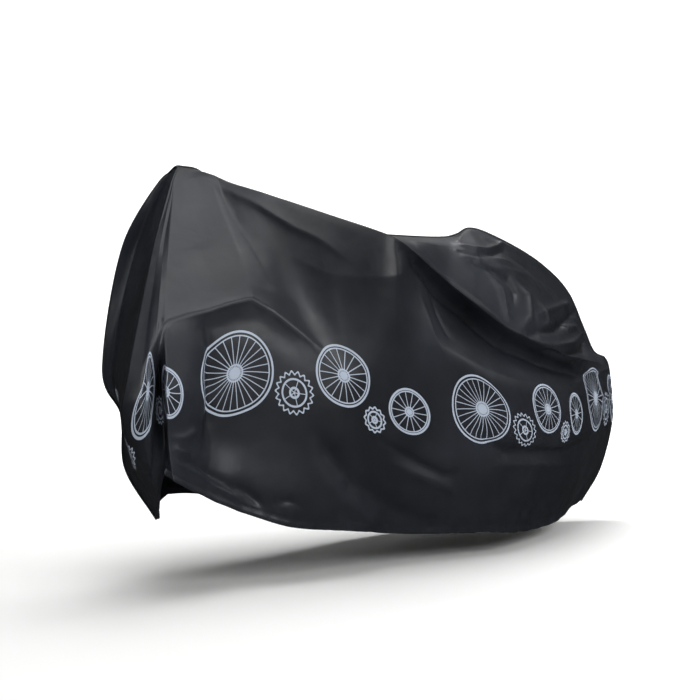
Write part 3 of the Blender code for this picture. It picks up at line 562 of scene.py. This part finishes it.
@dataclass(frozen=True)
class PevaFilm:
    """Calendered PEVA film, dyed black: smooth and half glossy, with a fine embossed grain.

    Its gloss shows every fold as one soft light face beside a near-black one.
    """

    shade: str = "#1b1d22"  # colour of the film
    dust: str = "#262930"  # colour of its chalky bloom, which lightens it in soft patches
    ink: str = "#a3adbc"  # colour of the printed band
    roughness: float = 0.40  # roughness of the bare film
    # Lowest and highest change that handling makes to the roughness.
    handling: tuple[float, float] = (-0.05, 0.07)
    ink_matt: float = 0.12  # how much rougher the ink is
    refraction: float = 1.49  # the film's refractive index
    sheen: float = 0.34  # strength of its gloss; clean film has 0.5, and dust takes some of it
    bloom: float = 0.3125  # spacing of the dusty patches
    wear: float = 1 / 14  # spacing of the handled patches
    # Spacing of the embossed grain. The real one is 0.4 mm, drawn coarser to show.
    grain: float = 0.0016
    grain_depth: float = 0.0006  # depth of the grain
    crinkle: float = 0.045  # spacing of the soft crinkles between creases
    crinkle_depth: float = 0.004  # depth of the crinkles

    def material(self, name: str, band: PrintedBand) -> bpy.types.Material:
        """Makes the film's material.

        Args:
            name: name of the material.
            band: what is printed on it.

        Returns:
            The material.
        """
        made = bpy.data.materials.new(name)
        made.use_nodes = True
        tree = made.node_tree
        surface = tree.nodes["Principled BSDF"]
        place = add_node(tree, "ShaderNodeTexCoord").outputs["Object"]
        # Chalky bloom: dusty patches that keep the black from looking like fresh plastic.
        bloom = add_node(tree, "ShaderNodeTexNoise", {"noise_dimensions": "3D"},
                         {"Vector": place, "Scale": 1.0 / self.bloom, "Detail": 3.0, "Roughness": 0.55})
        spread = add_node(tree, "ShaderNodeMapRange", None,
                          {0: bloom.outputs[0], 1: 0.38, 2: 0.68, 3: 0.0, 4: 1.0})
        film = add_node(tree, "ShaderNodeMix", {"data_type": "RGBA"},
                        {0: spread.outputs[0], 6: linear(self.shade), 7: linear(self.dust)})
        ink = band.mask(tree)
        printed = add_node(tree, "ShaderNodeMix", {"data_type": "RGBA"},
                           {0: ink, 6: film.outputs[2], 7: linear(self.ink)})
        tree.links.new(printed.outputs[2], surface.inputs["Base Color"])
        # Handling: the gloss changes a little from patch to patch, and the ink is matter.
        wear = add_node(tree, "ShaderNodeTexNoise", None,
                        {"Vector": place, "Scale": 1.0 / self.wear, "Detail": 4.0, "Roughness": 0.6})
        low, high = self.handling
        gloss = add_node(tree, "ShaderNodeMapRange", None,
                         {0: wear.outputs[0], 1: 0.3, 2: 0.7, 3: self.roughness + low,
                          4: self.roughness + high})
        inked = add_node(tree, "ShaderNodeMath", {"operation": "MULTIPLY_ADD"},
                         {0: ink, 1: self.ink_matt, 2: gloss.outputs[0]})
        tree.links.new(inked.outputs[0], surface.inputs["Roughness"])
        surface.inputs["IOR"].default_value = self.refraction
        surface.inputs["Specular IOR Level"].default_value = self.sheen
        # Relief: soft lumps twice the crinkles' size, flat facets between them, then the grain.
        soft = add_node(tree, "ShaderNodeTexNoise", {"noise_dimensions": "3D"},
                        {"Vector": place, "Scale": 0.5 / self.crinkle, "Detail": 2.0,
                         "Roughness": 0.45, "Distortion": 0.6})
        cracks = add_node(tree, "ShaderNodeTexVoronoi", {"feature": "DISTANCE_TO_EDGE"},
                          {"Vector": place, "Scale": 0.45 / self.crinkle, "Randomness": 1.0})
        facets = add_node(tree, "ShaderNodeMath", {"operation": "MINIMUM"},
                          {0: cracks.outputs[0], 1: 0.25})
        emboss = add_node(tree, "ShaderNodeTexNoise", None,
                          {"Vector": place, "Scale": 1.0 / self.grain, "Detail": 1.0})
        relief = None
        for source, strength, depth in ((soft, 0.35, self.crinkle_depth),
                                        (facets, 0.22, self.crinkle_depth),
                                        (emboss, 0.10, self.grain_depth)):
            inputs = {"Strength": strength, "Distance": depth, "Height": source.outputs[0]}
            if relief is not None:
                inputs["Normal"] = relief
            relief = add_node(tree, "ShaderNodeBump", None, inputs).outputs[0]
        tree.links.new(relief, surface.inputs["Normal"])
        return made


@dataclass(frozen=True)
class Ripple:
    """A wave along the hem whose spacing and height wander, so that no two ruffles are alike."""

    pitch: float  # mean spacing
    height: float  # height
    drift: float  # how far the wave runs ahead or behind, in radians
    drift_rate: float  # how fast that changes, in radians a metre
    swell: float  # share of the height that comes and goes
    swell_rate: float  # how fast the height does so, in radians a metre
    starts: tuple[float, float]  # starts of the drift and of the swell, in shares of the hem's phase

    def along(self, run: np.ndarray, phase: float) -> np.ndarray:
        """Height of the wave.

        Args:
            run: lengths along the hem.
            phase: the hem's phase.

        Returns:
            The height at each length, one a row.
        """
        drifted = self.drift * np.sin(self.drift_rate * run + self.starts[0] * phase)
        wave = np.sin(2 * np.pi * run / self.pitch + drifted)
        swell = 1.0 - self.swell + self.swell * np.sin(self.swell_rate * run + self.starts[1] * phase)
        return (self.height * wave * swell)[:, None]


@dataclass(frozen=True)
class ElasticHem:
    """The hem: a channel with elastic in it, which draws the film in and ruffles it."""

    channel: float = 0.014  # height of the elastic's channel
    bulge: float = 0.0022  # how far the channel stands out
    # Rise, depth and width of the welded line above the channel.
    weld: tuple[float, float, float] = (0.0175, 0.0012, 0.0022)
    band: float = 0.052  # height over which the hem is drawn in
    draw: float = 0.012  # how far the elastic draws the hem in
    ruffle: Ripple = Ripple(0.088, 0.0026, 1.3, 7.1, 0.35, 4.3, (1.0, 2.0))  # the wide ruffles
    ruffle_reach: float = 0.078  # height over which they die out
    # The narrow gathers between them.
    gather: Ripple = Ripple(0.03784, 0.0010, 2.1, 5.3, 0.45, 9.7, (1.7, 1.0))
    gather_reach: float = 0.0286  # height over which those die out
    gather_left: float = 0.3  # share of the gathers that the hem's ends keep
    fade: float = 0.55  # length from each end of the hem over which draw and ruffles grow

    def heights(self, above: np.ndarray, run: np.ndarray, phase: float) -> np.ndarray:
        """Outward shift that the hem gives the film.

        Args:
            above: height above the hem at each grid point, along the film.
            run: length along the hem at each column.
            phase: start of the ruffles' wave.

        Returns:
            The shift in metres at each grid point.
        """
        ends = (np.clip(np.minimum(run, run[-1] - run) / self.fade, 0.0, 1.0) ** 2)[:, None]
        ruffled = self.ruffle.along(run, phase) * np.exp(-(above / self.ruffle_reach) ** 2)
        gathered = self.gather.along(run, phase) * np.exp(-(above / self.gather_reach) ** 2)
        gathered = gathered * (self.gather_left + (1.0 - self.gather_left) * ends)
        drawn = -self.draw * np.exp(-(above / self.band) ** 2)
        tube = self.bulge * np.exp(-((above - 0.5 * self.channel) / (0.45 * self.channel)) ** 4)
        weld_rise, weld_depth, weld_width = self.weld
        weld = -weld_depth * np.exp(-((above - weld_rise) / weld_width) ** 2)
        return (ruffled + drawn) * ends + gathered + tube + weld


@dataclass(frozen=True)
class Crumples:
    """Fine crumples of film that was packed flat: flat facets between faint straight creases."""

    seed: int  # start of the random draws
    waves: int = 9  # number of crossing sets of creases
    spacing: tuple[float, float] = (0.10, 0.34)  # shortest and longest spacing of the creases
    bend: tuple[float, float] = (0.02, 0.06)  # least and greatest bend of a crease
    height: float = 0.0016  # height of the crumples on the quiet parts of the cover
    rear_extra: float = 1.2  # how much higher they are at the top of the rear
    # Where that rear part starts, from the floor's origin, and the length over which it grows.
    rear: tuple[float, float] = (0.45, 0.35)
    top: tuple[float, float] = (0.45, 0.15)  # its start above the hem and the height over which it grows

    def heights(self, places: np.ndarray, back: np.ndarray) -> np.ndarray:
        """Outward shift of the crumples.

        Args:
            places: place on the flat film of each grid point, along it and above the hem.
            back: how far to the rear each grid point is.

        Returns:
            The shift in metres at each grid point.
        """
        at_rear = np.clip((back - self.rear[0]) / self.rear[1], 0.0, 1.0)
        at_top = np.clip((places[..., 1] - self.top[0]) / self.top[1], 0.0, 1.0)
        draws = np.random.default_rng(self.seed)
        total = np.zeros(back.shape)
        for _ in range(self.waves):
            turn = draws.uniform(0.0, math.pi)
            pitch = draws.uniform(*self.spacing)
            start = draws.uniform(0.0, 1.0)
            bend = draws.uniform(*self.bend)
            cross = places @ np.array((math.cos(turn), math.sin(turn)))
            along = places @ np.array((-math.sin(turn), math.cos(turn)))
            cycle = (cross + bend * np.sin(5.0 * along + 6.0 * start)) / pitch + start
            tent = 2.0 * np.abs(cycle - np.floor(cycle) - 0.5)
            # Each set of creases shows only in patches, about half a metre apart.
            patch = 0.5 + 0.5 * np.sin(7.0 * along + 4.0 * cross + 9.0 * start)
            total += (tent - 0.5) * pitch / self.spacing[1] * patch
        return self.height * total * (1.0 + self.rear_extra * at_rear * at_top)


@dataclass
class FilmPanel:
    """One side of the cover: a film panel from the centre seam down to the hem."""

    node: str  # name of the CAD node that the panel stands for
    side: Side  # which side of the seam it hangs on
    ribs: tuple[Rib, ...]  # its guide lines, from the front to the rear
    folds: tuple[Fold, ...]  # its main creases
    crumples: Crumples
    phase: float  # start of its hem's ruffles
    cut_area: float  # area of the flat cut, in square metres
    flat: tuple[float, float] = LABEL_FLAT  # width and length of the flat cut
    hem: ElasticHem = field(default_factory=ElasticHem)
    seam_gap: float = 0.0018  # gap between the two panels at the seam
    seam_allowance: float = 0.0045  # width of the outward-turned seam edge
    seam_spread: float = 0.030  # length over which the panel leaves the seam's side
    seam_hold: float = 0.022  # length from the seam over which the folds and crumples grow
    seam_rounds: int = 60  # rounds of smoothing of the direction in which the seam edge turns out
    depth_share: float = 0.4  # share of a distance across the cover that counts for a fold's width

    def laid(self, places: np.ndarray, seam: np.ndarray, columns: np.ndarray) -> np.ndarray:
        """Lays the panel smoothly through its ribs.

        Args:
            places: place of each rib along the panel.
            seam: the seam's point at each mesh column.
            columns: place of each mesh column.

        Returns:
            Grid of points, by column and row.
        """
        lines = [seam]
        for level in range(1, len(LEVELS)):
            guide = np.array([rib.points[level] for rib in self.ribs], float) * CM
            crisp = [rib.high if level <= CREASE_LEVEL else rib.low for rib in self.ribs]
            lines.append(smooth_line(places, guide, columns, crisp))
        stack = np.array(lines)
        rows = np.concatenate([np.linspace(low, high, count, endpoint=False)
                               for low, high, count in zip(LEVELS[:-1], LEVELS[1:], ROWS)] + [[1.0]])
        turns = smooth_line(places, [(rib.ridge, rib.arch) for rib in self.ribs], columns, 1.0)
        crisps = turns @ np.array((RIDGE_SHARES, ARCH_SHARES))
        return np.array([smooth_line(LEVELS, stack[:, column], rows, crisp)
                         for column, crisp in enumerate(crisps)])

    def normals(self, grid: np.ndarray) -> np.ndarray:
        """Outward unit normals.

        Args:
            grid: points of the panel.

        Returns:
            One unit vector for each point.
        """
        down = np.gradient(grid, axis=1)
        along = np.gradient(grid, axis=0)
        return unit(smoothed(np.cross(down, along) * -self.side.value, 3))

    def fold_heights(self, grid: np.ndarray, normals: np.ndarray) -> np.ndarray:
        """Height of the main creases.

        Args:
            grid: points of the panel before it is creased.
            normals: the panel's normals there.

        Returns:
            Outward shift in metres at each grid point.
        """
        squeeze = np.array([1.0, self.depth_share, 1.0])
        total = np.zeros(grid.shape[:2])
        for fold in self.folds:
            path = np.array(fold.path, float) * CM
            nearest = np.full(grid.shape[:2], np.inf)
            height = np.zeros(grid.shape[:2])
            flank = np.zeros(grid.shape[:2])
            for start, end in zip(path[:-1], path[1:]):
                run = end[:3] - start[:3]
                gap = grid - start[:3]
                flat_run = run * squeeze
                part = np.clip(((gap * squeeze) @ flat_run) / (flat_run @ flat_run), 0.0, 1.0)
                apart = np.linalg.norm((gap - part[..., None] * run) * squeeze, axis=2)
                closer = apart < nearest
                nearest = np.where(closer, apart, nearest)
                height = np.where(closer, start[3] + part * (end[3] - start[3]), height)
                upper = np.cross(normals, run)
                flank = np.where(closer, np.sign((upper * gap).sum(axis=2)), flank)
            width = fold.width * CM * (1.0 - fold.lean * flank)
            total += height * np.exp(-(nearest / width) ** fold.sharp)
        return total

    def seam_edge(self, grid: np.ndarray) -> list[tuple[int, int]]:
        """Grid places of the seam: up the front column, along the top and down the rear column."""
        columns, rows = grid.shape[:2]
        front = [(0, row) for row in range(rows - 1, 0, -1)]
        rear = [(columns - 1, row) for row in range(1, rows)]
        return front + [(column, 0) for column in range(columns)] + rear

    def seam_turns(self, seam: np.ndarray) -> tuple[np.ndarray, np.ndarray]:
        """Directions at the seam.

        Args:
            seam: the seam's points from the front hem to the rear hem.

        Returns:
            At each point, the way the seam edge turns out and the way across the seam.
        """
        tangent = unit(np.gradient(seam, axis=0))
        for _ in range(self.seam_rounds):
            tangent[1:-1] = 0.25 * tangent[:-2] + 0.5 * tangent[1:-1] + 0.25 * tangent[2:]
        tangent = unit(tangent)
        out = np.stack((-tangent[:, 2], np.zeros(len(seam)), tangent[:, 0]), axis=1)
        out = unit(out - (out * tangent).sum(axis=1, keepdims=True) * tangent)
        return out, np.cross(out, tangent)

    def shaped(self, grid: np.ndarray, rise: np.ndarray) -> tuple[np.ndarray, np.ndarray, np.ndarray]:
        """Creases, ruffles and crumples the laid panel.

        Args:
            grid: points of the laid panel.
            rise: height of the band's centre line above the hem at each column.

        Returns:
            The shaped points, the flat place of each one along the band and above its centre line,
            and the directions in which the seam edge turns out.
        """
        backward = np.linalg.norm(np.diff(grid, axis=1), axis=2)[:, ::-1]
        above = np.concatenate((np.cumsum(backward, axis=1)[:, ::-1], np.zeros((len(grid), 1))), axis=1)
        along = running_length(grid[:, sum(ROWS[:BAND_LEVEL])])
        places = np.stack((np.broadcast_to(along[:, None], above.shape), above), axis=2)

        edge = self.seam_edge(grid)
        seam = np.array([grid[spot] for spot in edge])
        away = np.full(grid.shape[:2], np.inf)
        for point in seam:
            away = np.minimum(away, np.linalg.norm(grid - point, axis=2))
        free = (1.0 - np.exp(-(away / self.seam_hold) ** 2))[..., None]

        normals = self.normals(grid)
        sheet = grid + normals * self.fold_heights(grid, normals)[..., None] * free
        small = self.crumples.heights(places, grid[..., 0])
        small += self.hem.heights(above, running_length(grid[:, -1]), self.phase)
        sheet = sheet + self.normals(sheet) * small[..., None] * free

        out, across = self.seam_turns(seam)
        shift = self.side.value * 0.5 * self.seam_gap
        for spot, step in zip(edge, across):
            sheet[spot] = sheet[spot] + step * shift
        sheet[1:-1, 1:, 1] += shift * np.exp(-away[1:-1, 1:] / self.seam_spread)
        return sheet, np.stack((places[..., 0], above - rise[:, None]), axis=2), out

    def build(self, places: np.ndarray, seam: np.ndarray, columns: np.ndarray) -> bpy.types.Object:
        """Builds the panel as one object.

        Args:
            places: place of each of its ribs along the panel.
            seam: the seam's point at each mesh column.
            columns: place of each mesh column.

        Returns:
            The panel, without its finish.
        """
        rise = smooth_line(places, [[rib.rise * CM] for rib in self.ribs], columns)[:, 0]
        grid = self.laid(places, seam, columns)
        sheet, flat, out = self.shaped(grid, rise)
        rows = grid.shape[1]
        edge = self.seam_edge(grid)
        points = np.concatenate((sheet.reshape(-1, 3), [
            sheet[spot] + step * self.seam_allowance for spot, step in zip(edge, out)])) - REST
        uvs = np.concatenate((flat.reshape(-1, 2), [flat[spot] for spot in edge]))
        faces = [(c * rows + r, c * rows + r + 1, (c + 1) * rows + r + 1, (c + 1) * rows + r)
                 for c in range(len(grid) - 1) for r in range(rows - 1)]
        turned = len(grid) * rows                  # the turned-out edge's points follow the sheet's
        for step, (near, far) in enumerate(zip(edge[:-1], edge[1:])):
            faces.append((near[0] * rows + near[1], far[0] * rows + far[1],
                          turned + step + 1, turned + step))
        if self.side is Side.RIGHT:
            faces = [tuple(reversed(face)) for face in faces]
        mesh = bpy.data.meshes.new(self.node + "_film")
        mesh.from_pydata([tuple(point) for point in points], [], faces)
        layer = mesh.uv_layers.new(name="print")
        corners = np.empty(len(mesh.loops), int)
        mesh.loops.foreach_get("vertex_index", corners)
        layer.data.foreach_set("uv", uvs[corners].astype(np.float32).ravel())
        mesh.shade_smooth()
        panel = bpy.data.objects.new(self.node + "_film", mesh)
        bpy.context.scene.collection.objects.link(panel)
        return panel

    def dress(self, panel: bpy.types.Object, finish: bpy.types.Material) -> None:
        """Gives the panel its finish and ties it to the frame.

        Args:
            panel: the built panel.
            finish: its material.
        """
        panel.data.materials.append(finish)
        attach(panel, "root")
        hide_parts(self.node)


@dataclass
class BicycleCover:
    """The whole cover: two panels on one seam."""

    left: FilmPanel  # the panel that faces the camera
    right: FilmPanel  # the panel behind it
    film: PevaFilm = field(default_factory=PevaFilm)  # the film that both are cut from
    band: PrintedBand = field(default_factory=PrintedBand)  # what is printed on it
    column_step: float = 0.0051  # spacing of the mesh columns
    column_least: int = 10  # fewest mesh columns between two ribs

    def columns(self, places: np.ndarray) -> np.ndarray:
        """Spaces the mesh columns evenly between the ribs.

        Args:
            places: place of each rib of the left panel.

        Returns:
            Place of each mesh column; there is one on every rib.
        """
        marks = [0.0]
        for low, high in zip(places[:-1], places[1:]):
            count = max(self.column_least, round((high - low) / self.column_step))
            marks.extend(low + (high - low) * (step + 1) / count for step in range(count))
        return np.array(marks)

    def build(self) -> list[bpy.types.Object]:
        """Builds and dresses both panels.

        Returns:
            The two panels.
        """
        ribs = self.left.ribs
        table = np.array([rib.points for rib in ribs], float) * CM
        apart = np.linalg.norm(np.diff(table, axis=0), axis=2).mean(axis=1)
        places = np.concatenate(([0.0], np.cumsum(apart)))
        place_of = {rib.name: place for rib, place in zip(ribs, places)}
        columns = self.columns(places)
        seam = smooth_line(places, table[:, 0], columns)
        made = []
        for panel in (self.left, self.right):
            own = np.array([place_of[rib.name] for rib in panel.ribs])
            shape = panel.build(own, seam, columns)
            panel.dress(shape, self.film.material(panel.node + "_peva", self.band))
            log.info("%s: %d faces, rides on root", shape.name, len(shape.data.polygons))
            made.append(shape)
        return made


@dataclass(frozen=True)
class SoftBox:
    """A square soft box."""

    name: str
    spot: tuple[float, float, float]  # its place from the floor's origin
    target: tuple[float, float, float]  # the place that it faces
    size: float  # length of its sides
    power: float  # in watts

    def build(self) -> None:
        """Makes the lamp."""
        lamp = bpy.data.lights.new(self.name, "AREA")
        lamp.size = self.size
        lamp.energy = self.power
        holder = bpy.data.objects.new(self.name, lamp)
        bpy.context.scene.collection.objects.link(holder)
        place = np.array(self.spot) - REST
        aim = np.array(self.target) - REST
        holder.location = place
        holder.rotation_euler = Vector(tuple(aim - place)).to_track_quat("-Z", "Y").to_euler()


@dataclass
class Studio:
    """Pale floor and backdrop, soft studio light and the camera."""

    # Camera's place from the floor's origin.
    eye: tuple[float, float, float] = (-2.663, -3.026, 0.75)
    heading: float = 42.0  # camera's turn from +Y towards +X, in degrees
    focal: float = 1500 / 700  # focal length in picture widths
    horizon: float = 69 / 700  # the horizon's height above the picture's middle, in picture widths
    paper: str = "#fbfbfa"  # colour of floor and backdrop
    middle: tuple[float, float] = (0.3, 0.0)  # middle of the paper, from the floor's origin
    # Radius and height of the paper's rings, from its flat part to its upper edge.
    rings: tuple[tuple[float, float], ...] = (
        (4.8, 0.0), (5.0, 0.0), (6.5, 0.25), (7.6, 0.95), (8.2, 2.1), (8.4, 3.5))
    ring_count: int = 96  # points in a ring
    # Colour of the studio's faint even light.
    sky: tuple[float, float, float, float] = (0.97, 0.98, 1.0, 1.0)
    sky_strength: float = 0.03
    boxes: tuple[SoftBox, ...] = (
        SoftBox("top_front", (-1.4, -0.8, 4.2), (0.2, 0.0, 0.6), 2.4, 75.0),
        SoftBox("top_rear", (1.8, 0.6, 4.4), (0.3, 0.0, 0.6), 3.6, 135.0),
        SoftBox("front_box", (-0.2, -4.8, 3.0), (0.3, 0.0, 0.5), 2.4, 140.0),
        SoftBox("rear_side", (3.8, -2.6, 2.8), (0.5, 0.0, 0.5), 2.0, 22.0),
        SoftBox("backdrop_box", (2.4, 2.6, 4.6), (4.8, 5.4, 0.6), 3.0, 420.0),
    )

    def build(self) -> None:
        """Makes the floor, the lights and the camera."""
        self.paper_sweep()
        self.lights()
        self.camera()

    def paper_sweep(self) -> None:
        """A sheet of pale paper that lies under the cover and curves up far behind it."""
        count = self.ring_count
        points = []
        for radius, height in self.rings:
            for step in range(count):
                turn = 2 * math.pi * step / count
                points.append((self.middle[0] - REST[0] + radius * math.cos(turn),
                               self.middle[1] - REST[1] + radius * math.sin(turn), height - REST[2]))
        faces = [tuple(range(count))]
        for ring in range(len(self.rings) - 1):
            for step in range(count):
                other = (step + 1) % count
                faces.append((ring * count + step, ring * count + other,
                              (ring + 1) * count + other, (ring + 1) * count + step))
        mesh = bpy.data.meshes.new("paper_sweep")
        mesh.from_pydata(points, [], faces)
        mesh.shade_smooth()
        mesh.polygons[0].use_smooth = False        # the flat middle stays evenly lit up to its edge
        sweep = bpy.data.objects.new("paper_sweep", mesh)
        bpy.context.scene.collection.objects.link(sweep)
        # Matt background paper: an even pale ground that takes only a soft shadow.
        made = bpy.data.materials.new("studio_paper_matt")
        made.use_nodes = True
        surface = made.node_tree.nodes["Principled BSDF"]
        surface.inputs["Base Color"].default_value = linear(self.paper)
        surface.inputs["Roughness"].default_value = 0.9
        mesh.materials.append(made)
        sweep.visible_glossy = False               # keeps the paper out of the film's gloss

    def lights(self) -> None:
        """Faint even light, two soft boxes overhead, one beside the camera, two for rear and paper."""
        world = bpy.data.worlds.new("studio")
        bpy.context.scene.world = world
        world.use_nodes = True
        world.node_tree.nodes["Background"].inputs[0].default_value = self.sky
        world.node_tree.nodes["Background"].inputs[1].default_value = self.sky_strength
        for box in self.boxes:
            box.build()

    def camera(self) -> None:
        """A level camera at the photograph's angle, shifted to the photograph's framing."""
        data = bpy.data.cameras.new("photo_view")
        data.sensor_width = 36.0
        data.lens = data.sensor_width * self.focal
        data.shift_y = -self.horizon
        view = bpy.data.objects.new("photo_view", data)
        bpy.context.scene.collection.objects.link(view)
        view.location = np.array(self.eye) - REST
        view.rotation_euler = (math.pi / 2, 0.0, -math.radians(self.heading))
        bpy.context.scene.camera = view


def main() -> None:
    """Builds the cover and its studio."""
    bpy.context.scene.view_settings.view_transform = "Standard"
    cover = BicycleCover(
        left=FilmPanel("panel_left", Side.LEFT, LEFT_RIBS, LEFT_FOLDS, Crumples(seed=11),
                       phase=0.4, cut_area=1.95),
        right=FilmPanel("panel_right", Side.RIGHT, right_ribs(), RIGHT_FOLDS, Crumples(seed=23),
                        phase=2.1, cut_area=1.75),
    )
    cover.build()
    Studio().build()
    log.info("studio built")


if __name__ == "__main__":
    main()
